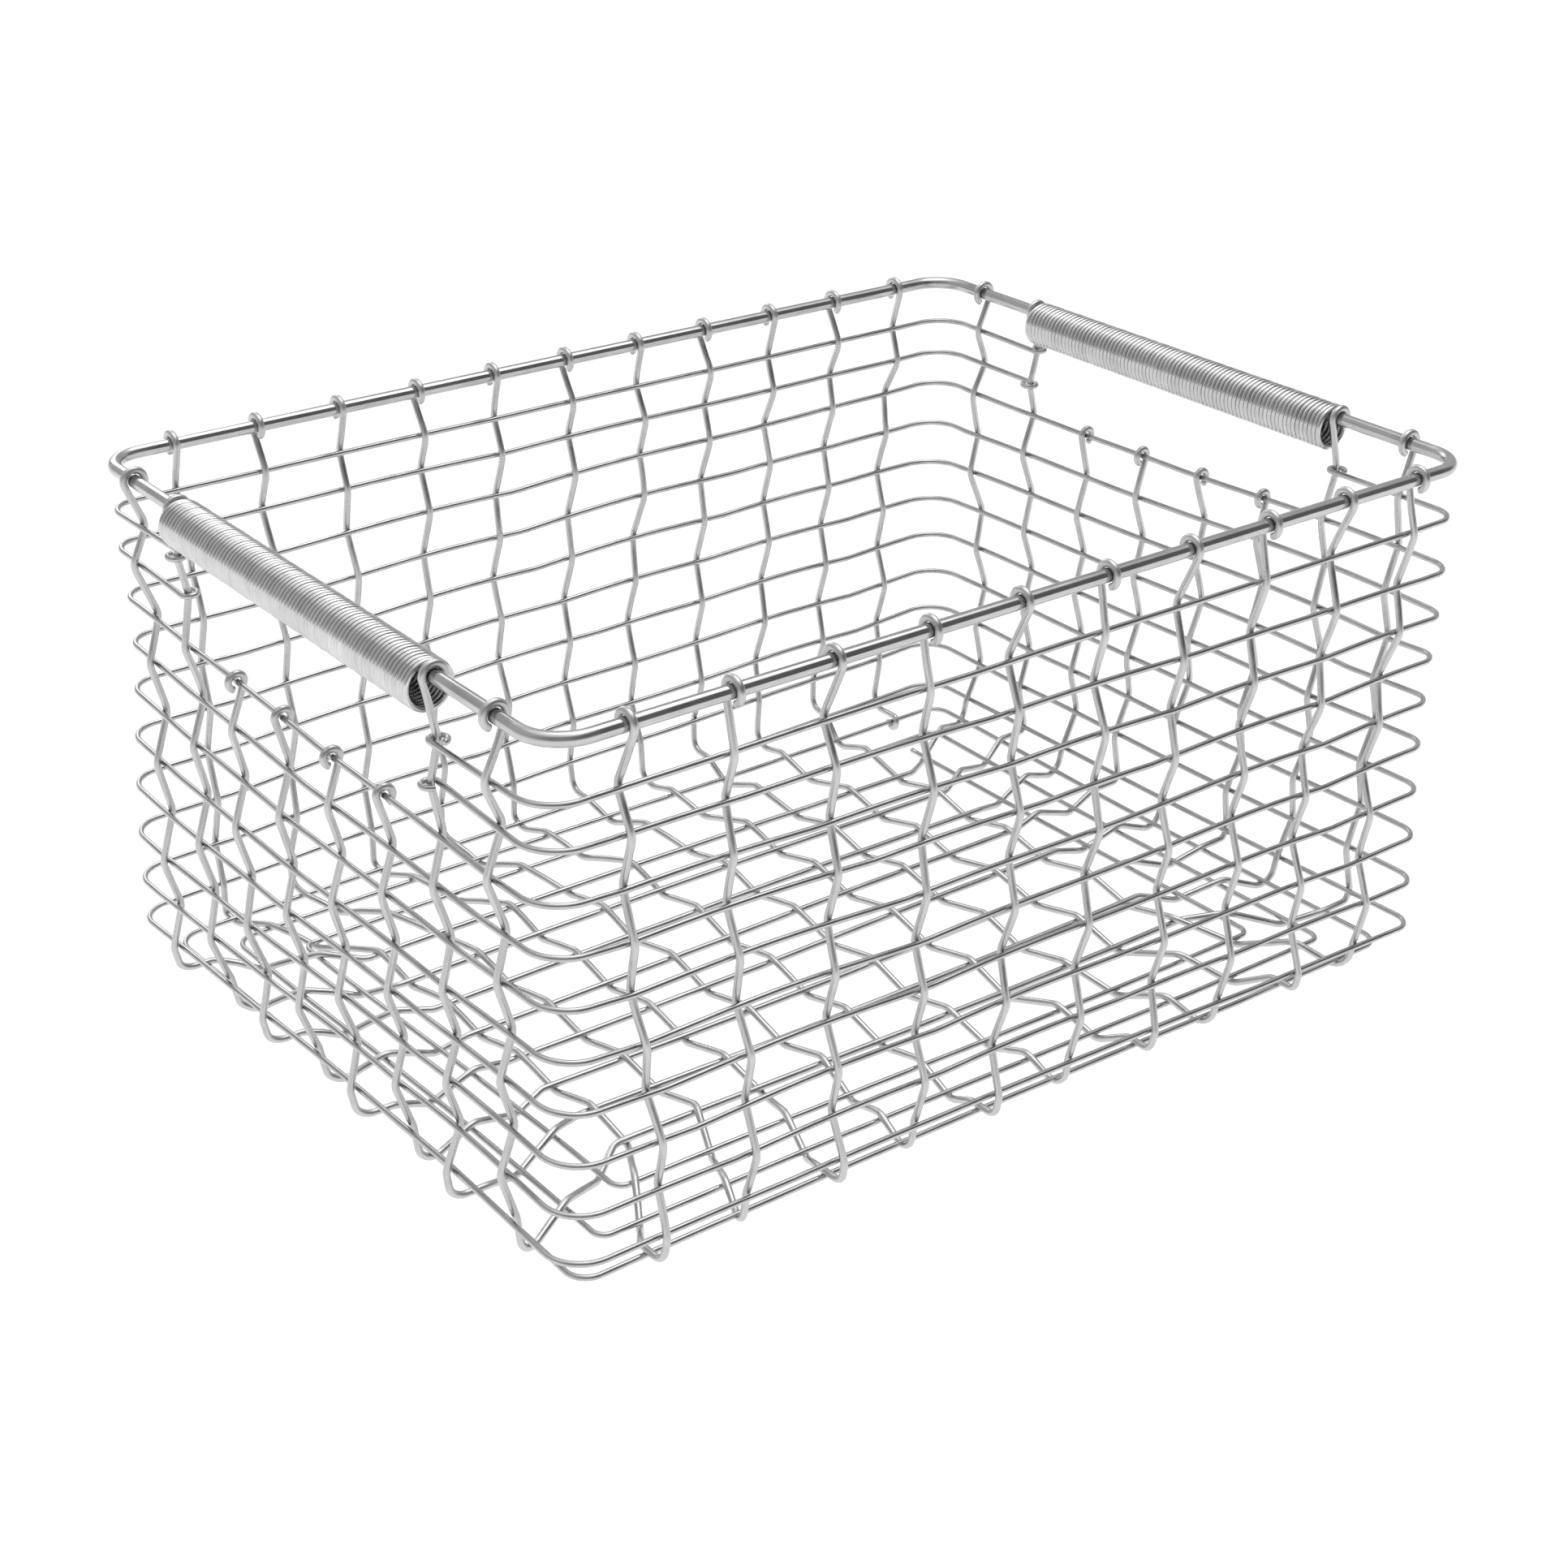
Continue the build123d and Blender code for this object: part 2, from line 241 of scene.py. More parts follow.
def is_outside(number, turn):
    """A stake is outside the weft at every second crossing, and so are its neighbours, turn about."""
    return (number + turn) % 2 == 1


def wires_above(side, across):
    """Depths of the short wires over the spiral at a stake, nearest the spiral first."""
    if side == FRONT:
        return [front_top_depth]
    if side == BACK:
        return list(back_top_depths)
    if abs(across) < post_across - 1:
        return None
    if side == RIGHT:
        return [front_top_depth] if across < 0 else list(back_top_depths)
    if across < 0:
        return [on_run(LEFT, -1, across)[1], front_top_depth]
    return list(back_top_depths)


def fan(side, out, depth, across):
    """Spacing of the stakes: even in the floor's middle, wider at its edge, widest at the rim."""
    at_core, at_rim = across
    core_out = cross_half_span if side in (FRONT, BACK) else long_half_span
    edge_out = (ring_half_widths if side in (FRONT, BACK) else ring_half_lengths)[0]
    at_edge = at_rim * edge_share
    if depth < floor_depth - above_floor:
        return at_rim + (at_edge - at_rim) * depth / floor_depth
    share = max(0.0, (out - core_out) / (edge_out - core_out))
    return at_core + (at_edge - at_core) * share


def crossing(side, turn, across):
    """Where a stake meets one turn of the weft, as across, out and depth."""
    here = across[1]
    for _ in range(4):  # the weft slopes and the stakes fan out, so each place shifts the other a little
        out, depth = on_run(side, turn, here)
        here = fan(side, out, depth, across)
    return here, out, depth


def edge_points(side, turn, number, across):
    """A stake's turn from the wall into the floor, under or over the ring at the floor's edge."""
    here, out, depth = crossing(side, turn, across)
    if is_outside(number, turn):
        return [(here, out + edge_reach, depth + edge_drop)]
    wall_out = half_width_at(depth) if side in (FRONT, BACK) else wall_half_length
    over_ring = depth - crimp - edge_lift
    return [(here, out - crimp, over_ring), (here, wall_out + edge_clear, over_ring - edge_rise_out)]


def stake_end(side, place_in_side, across, first_ring=2):
    """One stake from the floor's inner ring up to its eye: corners of its route, and the eye."""
    number = stake_number(side, place_in_side)
    edge_turn = wall_turns + (1 if side in (FRONT, RIGHT) else 0)
    reach = crimp + crimp_peak
    route = []
    for ring in range(first_ring, 0, -1):
        turn = edge_turn + ring
        here, out, depth = crossing(side, turn, across)
        drop = reach + ring_spread
        route.append((here, out, depth + (drop if is_outside(number, turn) else -drop)))
    route += edge_points(side, edge_turn, number, across)
    above = wires_above(side, across[1])
    top_turn = 0 if above is not None else 1
    for turn in range(edge_turn - 1, top_turn - 1, -1):
        here, out, depth = crossing(side, turn, across)
        route.append((here, out + (reach if is_outside(number, turn) else -reach), depth))
    if above is None:
        here, out, depth = crossing(side, 0, across)
        centre, turn, loop = (out, depth), 0, (weft_wire + stake_wire) / 2 + wire_gap
    else:
        for count, depth in enumerate(above, start=1):
            out = half_width_at(depth) if side in (FRONT, BACK) else wall_half_length
            if side in (FRONT, BACK):
                step = reach + (top_spread if count == len(above) else 0.0)
            else:
                step = reach * post_give if abs(across[1]) < post_across + 1 else reach + post_spread
            route.append((across[1], out + (step if is_outside(number, -count) else -step), depth))
        half = rim_half_width if side in (FRONT, BACK) else rim_half_length
        centre, turn, loop = (half, 0.0), -len(above) - 1, (rim_wire + stake_wire) / 2 + wire_gap
        here = across[1]
    touch = tangent_from(centre, loop, route[-1][1:], is_outside(number, turn))
    corners = [place(side, *spot) for spot in route]
    corners.append(place(side, here, *touch))
    return corners, eye(corners[-1], corners[-2], place(side, here, *centre))


def bends_for(corners, radius):
    """Bend radii along a route, smaller where two corners lie close together."""
    bends = []
    for before, corner, after in zip(corners, corners[1:], corners[2:]):
        shortest = min((corner - before).length, (after - corner).length)
        bends.append(min(radius, shortest * bend_share))
    return bends


# ---- routes of the wires, as smooth lines -----------------------------------------------------------

bend_step = math.radians(7)  # turn between points of a bend
longest_step = 5.0  # longest straight stretch between points
shortest_step = 1e-4  # points closer than this are one point, and turns smaller than this are none
soft_bend = 9.0  # the stakes curve more gently than the frame's, and still clear the weft
weft_corner_radii = (17.0, 11.0, 17.0, 13.0)  # left front, right front, right rear and left rear
corner_lift = 6.0  # the left front corner of the floor stands this much off the ground
corner_spread = 3.0  # the left rear corner of the floor stands out to the left by this much
weft_sag = 8.0  # and the weft sags by this much over it
sag_power = 6  # the sag is deepest close over the floor
sag_scale = 17.7  # makes the deepest place of that curve one
smooth_depth = 12.0  # the weave is even down to this depth under the rim
fade_depth = 60.0  # and takes this much more depth to become as uneven as it gets
calm_height = 8.0  # near the ground the unevenness in height fades out towards this height
calm_fade = 40.0  # over this distance
floor_share = 0.15  # but this share of it is left
crooked_middle = 0.35  # share of a corner's crookedness that reaches the basket's middle
crooked_length = 370.0  # it grows from nothing to full over this length
crooked_width = 270.0  # and this width


def rounded(corners, radii):
    """Points along straight runs joined by round bends, with how sharply each point bends."""
    line = [(corners[0], 0.0)]
    for before, corner, after, radius in zip(corners, corners[1:], corners[2:], radii):
        inward = (before - corner).normalized()
        onward = (after - corner).normalized()
        turn = math.pi - inward.angle(onward)
        if turn < shortest_step:
            continue
        tangent = radius * math.tan(turn / 2)
        middle = (inward + onward).normalized()
        centre = corner + middle * (radius / math.cos(turn / 2))
        start, end = corner + inward * tangent - centre, corner + onward * tangent - centre
        steps = max(3, math.ceil(turn / bend_step))
        for step in range(steps + 1):
            share = step / steps
            spoke = start * math.sin((1 - share) * turn) + end * math.sin(share * turn)
            line.append((centre + spoke / math.sin(turn), min(1.0, 2 * turn)))
    line.append((corners[-1], 0.0))
    return line


def filled(line):
    """The same line with long runs divided, so that it can take the weave's small unevenness."""
    points, bends = [line[0][0]], [line[0][1]]
    for (start, _), (end, bend) in zip(line, line[1:]):
        parts = max(1, math.ceil((end - start).length / longest_step))
        if (end - start).length < shortest_step:
            continue
        for part in range(1, parts + 1):
            points.append(start.lerp(end, part / parts))
            bends.append(bend if part == parts else 0.0)
    return np.array(points), np.array(bends)


def route_of(corners, radii, first_eye=(), last_eye=()):
    """The whole line of a wire: an eye, runs and bends, and an eye."""
    first = [(spot, 1.0) for spot in reversed(first_eye)]
    last = [(spot, 1.0) for spot in last_eye]
    return filled(first + rounded(corners, radii) + last)


def hand_woven(points):
    """Small unevenness of a hand-made weave: one smooth drift of all wires together, nothing at the rim.

    The waves' heights, and their lengths over two pi, are millimetres chosen to look irregular.
    """
    x, y, z = points.T
    depth = np.clip((rim_height - smooth_depth - z) / fade_depth, 0.0, 1.0)
    lift = 1.5 * np.sin(x / 61 + 0.6) * np.cos(y / 83 + z / 47) + 1.0 * np.sin(x / 29 + y / 37 + z / 71)
    shift_x = 2.0 * np.sin(x / 47 + z / 39 + y / 90) + 1.0 * np.sin(x / 21 - z / 28)
    shift_y = 1.7 * np.sin(y / 43 - z / 41 + x / 95) + 0.8 * np.sin(y / 19 + z / 25)
    on_floor = np.clip((z - calm_height) / calm_fade, floor_share, 1.0)
    toward_left = np.clip(crooked_middle - x / crooked_length, 0, 1)
    toward_front = np.clip(crooked_middle - y / crooked_width, 0, 1)
    toward_rear = np.clip(crooked_middle + y / crooked_width, 0, 1)
    low = np.clip((rim_height - z) / floor_depth, 0, 1)
    outward = corner_spread * toward_left * toward_rear * low**4
    upward = corner_lift * toward_left * toward_front * low**2
    sag = weft_sag * toward_left * toward_rear * sag_scale * low**sag_power * (1 - low)
    drift = np.stack([shift_x, shift_y, np.abs(lift) * on_floor], axis=1)
    crooked = np.stack([-outward, np.zeros_like(x), upward - sag], axis=1)
    return points + drift * depth[:, None] + crooked


# ---- tubes -----------------------------------------------------------------------------------------

tube_sides = 16
rim_sides = 24
coil_sides = 12
cut_rounding = 0.18  # the edge of a cut end is rounded over this share of the wire's radius
cut_narrowing = 0.8  # and the flat that is left is this share as wide


def frames_along(points, ahead):
    """Two directions across a line at each of its points, carried along it without twist."""
    side = np.zeros_like(points)
    start = np.cross(ahead[0], (0.0, 0.0, 1.0) if abs(ahead[0][2]) < 0.9 else (1.0, 0.0, 0.0))
    side[0] = start / np.linalg.norm(start)
    for index in range(1, len(points)):
        carried = side[index - 1] - ahead[index] * np.dot(side[index - 1], ahead[index])
        side[index] = carried / np.linalg.norm(carried)
    return side, np.cross(ahead, side)


def tube(name, points, bends, radius, closed=False, sides=tube_sides):
    """A round tube along a line, with rounded cut ends.

    Its texture coordinates are the place round its girth, from 0 to 1, and the length along it in
    millimetres. Its attribute "worked" says how sharply the wire was bent at each point.
    """
    ahead = np.gradient(points, axis=0)
    if closed:
        ahead = np.roll(points, -1, axis=0) - np.roll(points, 1, axis=0)
    ahead /= np.linalg.norm(ahead, axis=1)[:, None]
    side, other = frames_along(points, ahead)
    length = np.concatenate([[0.0], np.cumsum(np.linalg.norm(np.diff(points, axis=0), axis=1))])
    centres, scales, runs, marks = list(points), [1.0] * len(points), list(length), list(bends)
    frames = list(zip(side, other))
    if not closed:
        for end, sign in ((0, -1), (-1, 1)):
            tip = points[end] + ahead[end] * sign * radius * cut_rounding
            spot = 0 if end == 0 else len(centres)
            centres.insert(spot, tip)
            scales.insert(spot, cut_narrowing)
            runs.insert(spot, length[end])
            marks.insert(spot, 1.0)
            frames.insert(spot, (side[end], other[end]))
    angles = np.linspace(0, 2 * math.pi, sides, endpoint=False)
    rings = []
    for centre, scale, (across, up) in zip(centres, scales, frames):
        ring = np.outer(np.cos(angles), across) + np.outer(np.sin(angles), up)
        rings.append(centre + ring * radius * scale)
    count = len(rings)
    faces, coords = [], []
    spans = count if closed else count - 1
    total = length[-1]
    for row in range(spans):
        after = (row + 1) % count
        run_a, run_b = runs[row], runs[after] if after else total
        for col in range(sides):
            nxt = (col + 1) % sides
            faces.append((row * sides + col, row * sides + nxt, after * sides + nxt, after * sides + col))
            around_a, around_b = col / sides, (col + 1) / sides
            coords += [(around_a, run_a), (around_b, run_a), (around_b, run_b), (around_a, run_b)]
    if not closed:
        first = tuple(reversed(range(sides)))
        last = tuple(range((count - 1) * sides, count * sides))
        for cap in (first, last):
            faces.append(cap)
            turned = [angles[corner % sides] for corner in cap]
            coords += [(0.5 + 0.3 * math.cos(angle), 0.3 * math.sin(angle)) for angle in turned]  # a disc
    mesh = bpy.data.meshes.new(name)
    mesh.from_pydata((np.concatenate(rings) * MM).tolist(), [], faces)
    layer = mesh.uv_layers.new(name="along_wire")
    layer.data.foreach_set("uv", np.array(coords, dtype=np.float32).ravel())
    worked = mesh.attributes.new("worked", "FLOAT", "POINT")
    worked.data.foreach_set("value", np.repeat(np.array(marks, dtype=np.float32), sides))
    mesh.shade_smooth()
    for face in mesh.polygons:
        if len(face.vertices) > 4:  # the flat of a cut end
            face.use_smooth = False
    piece = bpy.data.objects.new(name, mesh)
    bpy.context.scene.collection.objects.link(piece)
    return piece


def finish_wire(piece, material, body, nodes):
    """Gives a wire its steel and its body, and hides the frame's nodes that it stands for."""
    piece.data.materials.append(material)
    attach(piece, body)
    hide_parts(*nodes)


# ---- steel -----------------------------------------------------------------------------------------

streak_stretch = 0.035  # die lines change this often in each millimetre along the wire
cloud_scale = 55.0  # patches per metre
speck_scale = 700.0  # specks per metre
worked_roughness = 0.12  # added where a wire was bent
speck_share = 0.15  # height of the specks, as a share of the die lines' height


def drawn_steel(name, tone, streaks, rough_low, rough_high, pale):
    """Drawn wire: die lines along its length, cloudy patches, and paler, rougher metal where it was bent.

    tone is its brightness, streaks the number of die lines round it, rough_low and rough_high the
    roughness of its patches, and pale how much of the bent metal's tone shows.
    """
    material = bpy.data.materials.new(name)
    material.use_nodes = True
    nodes, links = material.node_tree.nodes, material.node_tree.links
    shader = nodes["Principled BSDF"]
    shader.inputs["Metallic"].default_value = 1.0
    shader.inputs["IOR"].default_value = 2.5

    def add(kind, **inputs):
        node = nodes.new(kind)
        for key, value in inputs.items():
            node.inputs[key.replace("_", " ")].default_value = value
        return node

    uv = nodes.new("ShaderNodeUVMap")
    uv.uv_map = "along_wire"
    stretch = add("ShaderNodeMapping", Scale=(streaks, streak_stretch, 1.0))
    links.new(uv.outputs["UV"], stretch.inputs["Vector"])
    lines = add("ShaderNodeTexNoise", Scale=1.0, Detail=5.0, Roughness=0.65)
    links.new(stretch.outputs["Vector"], lines.inputs["Vector"])
    place_in_space = nodes.new("ShaderNodeTexCoord")
    clouds = add("ShaderNodeTexNoise", Scale=cloud_scale, Detail=4.0, Roughness=0.6)
    links.new(place_in_space.outputs["Object"], clouds.inputs["Vector"])
    specks = add("ShaderNodeTexNoise", Scale=speck_scale, Detail=3.0, Roughness=0.7)
    links.new(place_in_space.outputs["Object"], specks.inputs["Vector"])
    worked = nodes.new("ShaderNodeAttribute")
    worked.attribute_name = "worked"

    streak_tone = nodes.new("ShaderNodeValToRGB")
    ramp = streak_tone.color_ramp
    ramp.elements[0].position, ramp.elements[1].position = 0.3, 0.68
    ramp.elements[0].color = (tone * 0.8, tone * 0.8, tone * 0.81, 1)
    ramp.elements[1].color = (tone * 1.08, tone * 1.08, tone * 1.08, 1)
    links.new(lines.outputs["Fac"], streak_tone.inputs["Fac"])
    cloud_tone = nodes.new("ShaderNodeValToRGB")
    ramp = cloud_tone.color_ramp
    ramp.elements[0].position, ramp.elements[1].position = 0.35, 0.62
    ramp.elements[0].color = (0.86, 0.86, 0.87, 1)
    ramp.elements[1].color = (1.0, 1.0, 1.0, 1)
    links.new(clouds.outputs["Fac"], cloud_tone.inputs["Fac"])
    mixed = nodes.new("ShaderNodeMix")
    mixed.data_type, mixed.blend_type = "RGBA", "MULTIPLY"
    mixed.inputs["Factor"].default_value = 1.0
    links.new(streak_tone.outputs["Color"], mixed.inputs["A"])
    links.new(cloud_tone.outputs["Color"], mixed.inputs["B"])
    bent = nodes.new("ShaderNodeMix")
    bent.data_type, bent.blend_type = "RGBA", "MIX"
    fade = nodes.new("ShaderNodeMath")
    fade.operation = "MULTIPLY"
    fade.inputs[1].default_value = pale
    links.new(worked.outputs["Fac"], fade.inputs[0])
    links.new(fade.outputs[0], bent.inputs["Factor"])
    links.new(mixed.outputs["Result"], bent.inputs["A"])
    bent.inputs["B"].default_value = (tone * 1.12, tone * 1.12, tone * 1.1, 1)
    links.new(bent.outputs["Result"], shader.inputs["Base Color"])

    rough = nodes.new("ShaderNodeMapRange")
    rough.inputs["From Min"].default_value, rough.inputs["From Max"].default_value = 0.3, 0.7
    rough.inputs["To Min"].default_value, rough.inputs["To Max"].default_value = rough_low, rough_high
    links.new(clouds.outputs["Fac"], rough.inputs["Value"])
    rougher = nodes.new("ShaderNodeMath")
    rougher.operation = "MULTIPLY_ADD"
    rougher.inputs[1].default_value = worked_roughness
    links.new(worked.outputs["Fac"], rougher.inputs[0])
    links.new(rough.outputs["Result"], rougher.inputs[2])
    links.new(rougher.outputs[0], shader.inputs["Roughness"])

    relief = nodes.new("ShaderNodeMath")
    relief.operation = "MULTIPLY_ADD"
    relief.inputs[1].default_value = speck_share
    links.new(specks.outputs["Fac"], relief.inputs[0])
    links.new(lines.outputs["Fac"], relief.inputs[2])
    bump = add("ShaderNodeBump", Strength=0.12, Distance=0.0001)
    links.new(relief.outputs[0], bump.inputs["Height"])
    links.new(bump.outputs["Normal"], shader.inputs["Normal"])
    return material


# ---- pieces ----------------------------------------------------------------------------------------


def make_rim(steel):
    """The rim: one thick wire bent to a rounded rectangle and closed."""
    corners = []
    for x, y in ((1, -1), (1, 1), (-1, 1), (-1, -1)):
        corners.append(point(x * rim_half_length, y * rim_half_width, rim_height))
    middle = (corners[-1] + corners[0]) / 2
    points, bends = filled(rounded([middle] + corners + [middle], [rim_corner_radius] * 4))
    piece = tube("rim_wire", points[:-1], bends[:-1], rim_wire / 2, closed=True, sides=rim_sides)
    finish_wire(piece, steel, "basket", ["rim"])


coil_steps = 44  # points in each turn of a spring
coil_wire_share = 0.97  # its wire is drawn at this share of its thickness, so that the turns show
coil_inset = 0.12  # room for the unevenness of its turns


def make_grip(name, x, steel, body):
    """A close-wound spring, hanging so that the rim lies along the top of its bore."""
    mean_radius = (grip_outer_diameter - grip_wire) / 2
    hang = mean_radius - grip_wire / 2 - rim_wire / 2 - wire_gap
    half_length = (grip_turns - 1) * grip_wire / 2
    turns = np.arange(grip_turns * coil_steps + 1) / coil_steps
    angle = 2 * math.pi * turns
    y = -half_length + np.clip(turns - 0.5, 0, grip_turns - 1) * grip_wire
    spread = 1 + 0.006 * np.sin(turns * 2.1) + 0.004 * np.sin(turns * 5.3)  # no two turns are alike
    closing = 0.015 * (np.exp(-turns * 1.2) + np.exp(-(grip_turns - turns) * 1.2))  # at the cut ends
    reach = (mean_radius - coil_inset) * spread * (1 - closing)
    across = x + reach * np.cos(angle)
    up = rim_height - hang + reach * np.sin(angle)
    points = np.stack([across, y, up], axis=1)
    worked = np.full(len(points), 0.25)
    radius = grip_wire / 2 * coil_wire_share
    piece = tube(name + "_spring", points, worked, radius, sides=coil_sides)
    finish_wire(piece, steel, body, [name + "_coil"])


def make_cross_stake(place_in_side, steel):
    """A stake from the front rim down, across the floor over and under the long stakes, and up the back."""
    core_x = (place_in_side - (cross_count - 1) / 2) * floor_cross_pitch
    front_x = (place_in_side - (cross_count - 1) / 2) * front_pitch
    back_x = (place_in_side - cross_count / 2) * back_pitch
    front, front_eye = stake_end(FRONT, place_in_side, (core_x, front_x))
    back, back_eye = stake_end(BACK, place_in_side, (core_x, back_x))
    lift = stake_wire + wire_gap + crimp_peak
    core = []
    for row in range(long_count):
        y = row * floor_long_pitch - cross_half_span
        over = (place_in_side + 1 + row) % 2 == 0
        core.append(point(core_x, y, rim_height - floor_depth + (lift if over else -lift)))
    woven(f"cross_stake_{place_in_side + 1:02d}", front[::-1] + core + back, steel, front_eye, back_eye)


def make_long_stake(place_in_side, steel):
    """A stake from the left end down, straight along the floor, and up the right end."""
    core_y = (place_in_side - (long_count - 1) / 2) * floor_long_pitch
    rim_y = (place_in_side - (long_count - 1) / 2) * end_pitch
    left, left_eye = stake_end(LEFT, place_in_side, (core_y, rim_y))
    right, right_eye = stake_end(RIGHT, place_in_side, (core_y, rim_y))
    core_x = long_half_span + long_core_margin
    z = rim_height - floor_depth
    corners = left[::-1] + [point(-core_x, core_y, z), point(core_x, core_y, z)] + right
    woven(f"long_stake_{place_in_side + 1}", corners, steel, left_eye, right_eye)


def make_half_stake(steel):
    """The eleventh stake of the back wall, which ends in an eye round the floor's middle ring."""
    across = (cross_half_span + half_stake_foot, cross_count / 2 * back_pitch)
    corners, rim_eye = stake_end(BACK, cross_count, across, first_ring=0)
    here, out, depth = crossing(BACK, wall_turns + 1, across)
    loop = (weft_wire + stake_wire) / 2 + wire_gap
    edge = corners[0]
    touch = tangent_from((depth, out), loop, (rim_height - edge.z, edge.y), False)
    hook = point(here, touch[1], rim_height - touch[0])
    hook_eye = eye(hook, edge, place(BACK, here, out, depth))
    woven("half_stake", [hook] + corners, steel, hook_eye, rim_eye)


def woven(node, corners, steel, first_eye, last_eye):
    """A stake: its route, the weave's unevenness, and its tube."""
    points, bends = route_of(corners, bends_for(corners, soft_bend), first_eye, last_eye)
    piece = tube(node + "_wire", hand_woven(points), bends, stake_wire / 2)
    finish_wire(piece, steel, "basket", [node])


def post_eye(side, across, turn, depth, heading):
    """End of a short wire: it touches the post beside the grip and loops round it."""
    number = stake_number(side, 0) + (1 if across < 0 else long_count - 2) * (1 if side == RIGHT else -1)
    loop = (weft_wire + stake_wire) / 2 + wire_gap
    outward = 1 if is_outside(number, turn) else -1
    post_out = wall_half_length + outward * loop * post_give
    touch = place(side, across, post_out - outward * loop, depth)
    return touch, eye(touch, touch - point(0, heading, 0), place(side, across, post_out, depth))


def make_top_wire(node, wall, depth, left_turn, right_turn, steel):
    """A short wire along one long wall and round both its corners to the posts beside the grips."""
    direction = -1 if wall == FRONT else 1
    near_left, near_right, far_right, far_left = weft_corner_radii
    y = direction * half_width_at(depth)
    left_end, left_eye = post_eye(LEFT, direction * post_across, left_turn, depth, -direction)
    right_end, right_eye = post_eye(RIGHT, direction * post_across, right_turn, depth, -direction)
    left_corner = point(-wall_half_length, y, rim_height - depth)
    right_corner = point(wall_half_length, y, rim_height - depth)
    corners = [left_end, left_corner, right_corner, right_end]
    radii = [near_left, near_right] if wall == FRONT else [far_left, far_right]
    points, bends = route_of(corners, radii, left_eye, right_eye)
    piece = tube(node + "_piece", hand_woven(points), bends, weft_wire / 2)
    finish_wire(piece, steel, "basket", [node])


def make_weft(steel):
    """The whole weft as the one wire it is, from its eye on the front post to its end in the floor."""
    depth = on_run(LEFT, -1, -post_across)[1]
    start, start_eye = post_eye(LEFT, -post_across, -1, depth, 1)
    corners, radii, nodes = [start], [], []
    last_turn = wall_turns + 3
    for turn in range(last_turn + 1):
        ring = turn - wall_turns - 1
        nodes.append(f"floor_ring_{ring + 1}" if ring >= 0 else f"weft_turn_{turn + 1}")
        for corner in range(2 if turn == last_turn else 4):
            x, y, depth = weft_corner(turn, corner)
            corners.append(point(x, y, rim_height - depth))
            radii.append(ring_corner_radii[ring] if ring >= 0 else weft_corner_radii[corner])
    x, y, depth = weft_run(RIGHT, last_turn)[1]
    corners.append(point(x, y, rim_height - depth))
    points, bends = route_of(corners, radii, start_eye)
    piece = tube("weft_wire", hand_woven(points), bends, weft_wire / 2)
    finish_wire(piece, steel, "basket", nodes)


# ---- studio, in metres -----------------------------------------------------------------------------

camera_place = (-0.6698, -0.8598, 0.6403)
camera_turn = (63.262, -0.646, -37.581)  # degrees
camera_lens = 60.64  # on a sensor 36 mm wide
floor_reach = 14.0
floor_glow = 0.88
wall_light, ceiling_light = 0.53, 1.15
dark_share, near_share = 0.29, 0.54  # what is left of that light on the dark side, and behind the camera
middle_of_basket = (0, 0, 0.12)


def make_camera():
    """The viewing angle: from the left front corner, a little above the rim."""
    camera = bpy.data.objects.new("camera", bpy.data.cameras.new("camera"))
    bpy.context.scene.collection.objects.link(camera)
    camera.location = camera_place
    camera.rotation_euler = [math.radians(angle) for angle in camera_turn]
    camera.data.sensor_width = 36.0
    camera.data.lens = camera_lens
    camera.data.clip_start = 0.02
    bpy.context.scene.camera = camera


def make_floor():
    """A wide pale sheet, lit so evenly that the basket hardly shadows it."""
    mesh = bpy.data.meshes.new("floor")
    corners = [(x * floor_reach, y * floor_reach, 0) for x, y in ((-1, -1), (1, -1), (1, 1), (-1, 1))]
    mesh.from_pydata(corners, [], [(0, 1, 2, 3)])
    floor = bpy.data.objects.new("floor", mesh)
    bpy.context.scene.collection.objects.link(floor)
    paper = bpy.data.materials.new("pale_paper")
    paper.use_nodes = True
    shader = paper.node_tree.nodes["Principled BSDF"]
    shader.inputs["Base Color"].default_value = (0.3, 0.3, 0.3, 1)
    shader.inputs["Roughness"].default_value = 1.0
    shader.inputs["Specular IOR Level"].default_value = 0.0
    shader.inputs["Emission Color"].default_value = (1.0, 1.0, 0.995, 1)
    shader.inputs["Emission Strength"].default_value = floor_glow
    mesh.materials.append(paper)


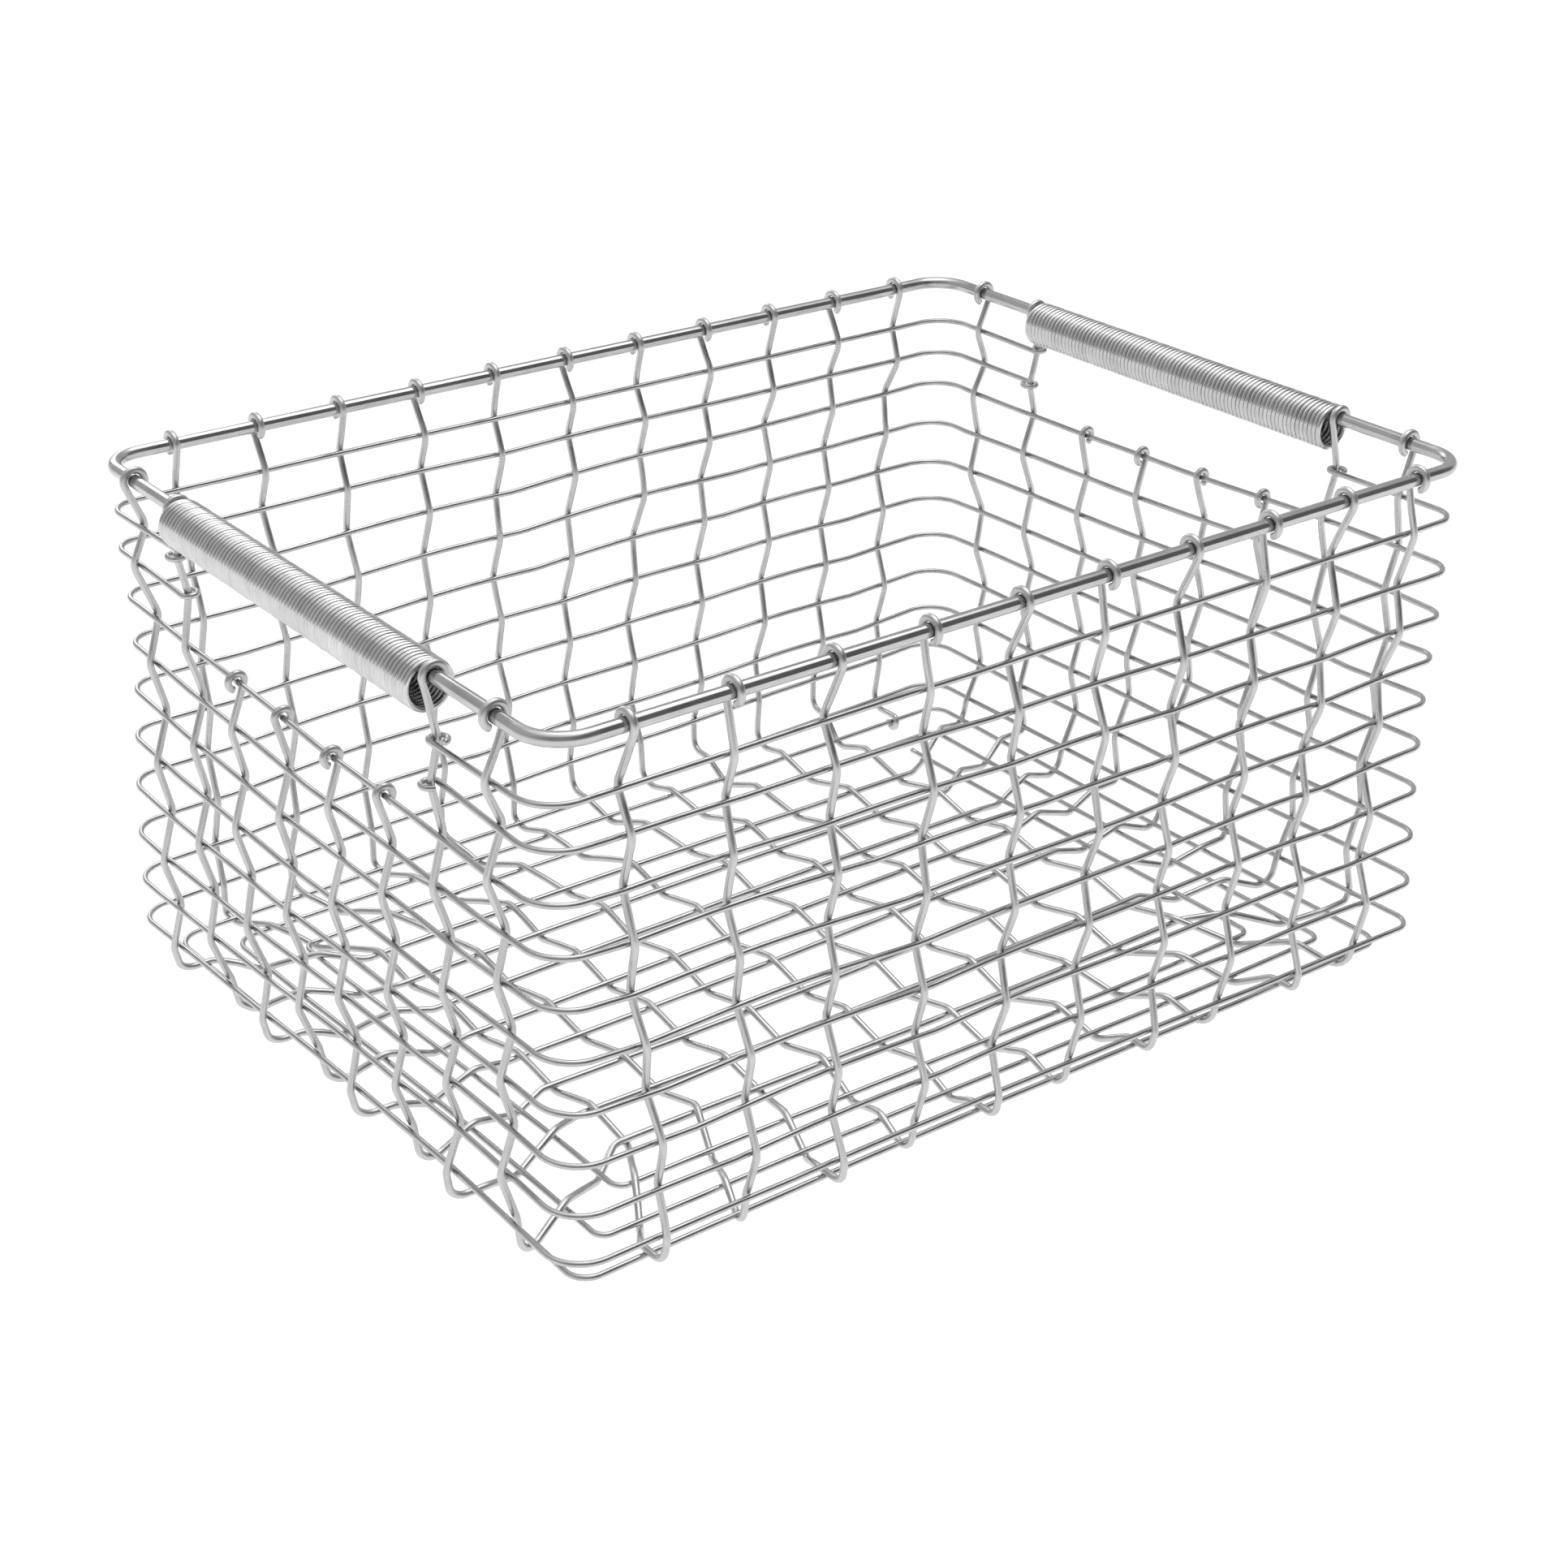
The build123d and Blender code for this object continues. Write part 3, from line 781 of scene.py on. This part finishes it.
def make_sky():
    """Soft studio surroundings: a bright ceiling, pale walls, and one dark side for the wires to mirror."""
    world = bpy.data.worlds.new("studio")
    bpy.context.scene.world = world
    world.use_nodes = True
    nodes, links = world.node_tree.nodes, world.node_tree.links
    where = nodes.new("ShaderNodeTexCoord")

    def band(source, low, high, at_low, at_high):
        """A soft step from one value to another."""
        node = nodes.new("ShaderNodeMapRange")
        node.interpolation_type = "SMOOTHSTEP"
        node.inputs["From Min"].default_value, node.inputs["From Max"].default_value = low, high
        node.inputs["To Min"].default_value, node.inputs["To Max"].default_value = at_low, at_high
        links.new(source, node.inputs["Value"])
        return node.outputs["Result"]

    def toward(direction):
        """How closely a ray points along a direction."""
        node = nodes.new("ShaderNodeVectorMath")
        node.operation = "DOT_PRODUCT"
        node.inputs[1].default_value = Vector(direction).normalized()
        links.new(where.outputs["Generated"], node.inputs[0])
        return node.outputs["Value"]

    def times(first, second):
        node = nodes.new("ShaderNodeMath")
        node.operation = "MULTIPLY"
        links.new(first, node.inputs[0])
        links.new(second, node.inputs[1])
        return node.outputs[0]

    # each part of the surroundings fades in between two values of how closely a ray points at it
    ceiling = band(toward((0.1, 0.05, 1.0)), 0.76, 0.86, wall_light, ceiling_light)
    dark_side = band(toward((0.55, -0.8, 0.2)), 0.62, 0.8, 1.0, dark_share)
    near_side = band(toward((-0.5, -0.8, 0.3)), 0.55, 0.9, 1.0, near_share)
    links.new(times(times(ceiling, dark_side), near_side), nodes["Background"].inputs["Strength"])
    nodes["Background"].inputs["Color"].default_value = (1.0, 1.0, 1.0, 1)

    # what the camera sees beyond the floor is plain white, like the floor
    plain = nodes.new("ShaderNodeBackground")
    rays = nodes.new("ShaderNodeLightPath")
    choice = nodes.new("ShaderNodeMixShader")
    links.new(rays.outputs["Is Camera Ray"], choice.inputs["Fac"])
    links.new(nodes["Background"].outputs[0], choice.inputs[1])
    links.new(plain.outputs[0], choice.inputs[2])
    plain.inputs["Color"].default_value = (1.0, 1.0, 1.0, 1)
    links.new(choice.outputs[0], nodes["World Output"].inputs["Surface"])


def make_lamp(name, place_at, size, power):
    """A square soft light that faces the basket."""
    lamp = bpy.data.objects.new(name, bpy.data.lights.new(name, "AREA"))
    bpy.context.scene.collection.objects.link(lamp)
    lamp.data.shape, lamp.data.size, lamp.data.energy = "SQUARE", size, power
    lamp.location = place_at
    lamp.rotation_euler = (Vector(middle_of_basket) - Vector(place_at)).to_track_quat("-Z", "Y").to_euler()


bpy.context.scene.view_settings.view_transform = "Standard"
make_camera()
make_floor()
make_sky()
make_lamp("overhead", (0.5, 0.1, 2.0), size=1.3, power=9)
make_lamp("back", (0.4, 2.4, 1.3), size=1.2, power=8)

rim_steel = drawn_steel("rim_steel", tone=0.6, streaks=26.0, rough_low=0.12, rough_high=0.2, pale=0.1)
stake_steel = drawn_steel("stake_steel", tone=0.6, streaks=14.0, rough_low=0.2, rough_high=0.32, pale=0.4)
weft_steel = drawn_steel("weft_steel", tone=0.58, streaks=12.0, rough_low=0.13, rough_high=0.22, pale=0.15)
grip_steel = drawn_steel("grip_steel", tone=0.7, streaks=10.0, rough_low=0.12, rough_high=0.2, pale=0.1)

make_rim(rim_steel)
make_grip("left_grip", -rim_half_length, grip_steel, "left_grip")
make_grip("right_grip", rim_half_length, grip_steel, "right_grip")
make_top_wire("front_top_wire", FRONT, front_top_depth, -2, -1, weft_steel)
make_top_wire("back_top_wire_lower", BACK, back_top_depths[0], -1, -1, weft_steel)
make_top_wire("back_top_wire_upper", BACK, back_top_depths[1], -2, -2, weft_steel)
make_weft(weft_steel)
for stake_place in range(cross_count):
    make_cross_stake(stake_place, stake_steel)
for stake_place in range(long_count):
    make_long_stake(stake_place, stake_steel)
make_half_stake(stake_steel)
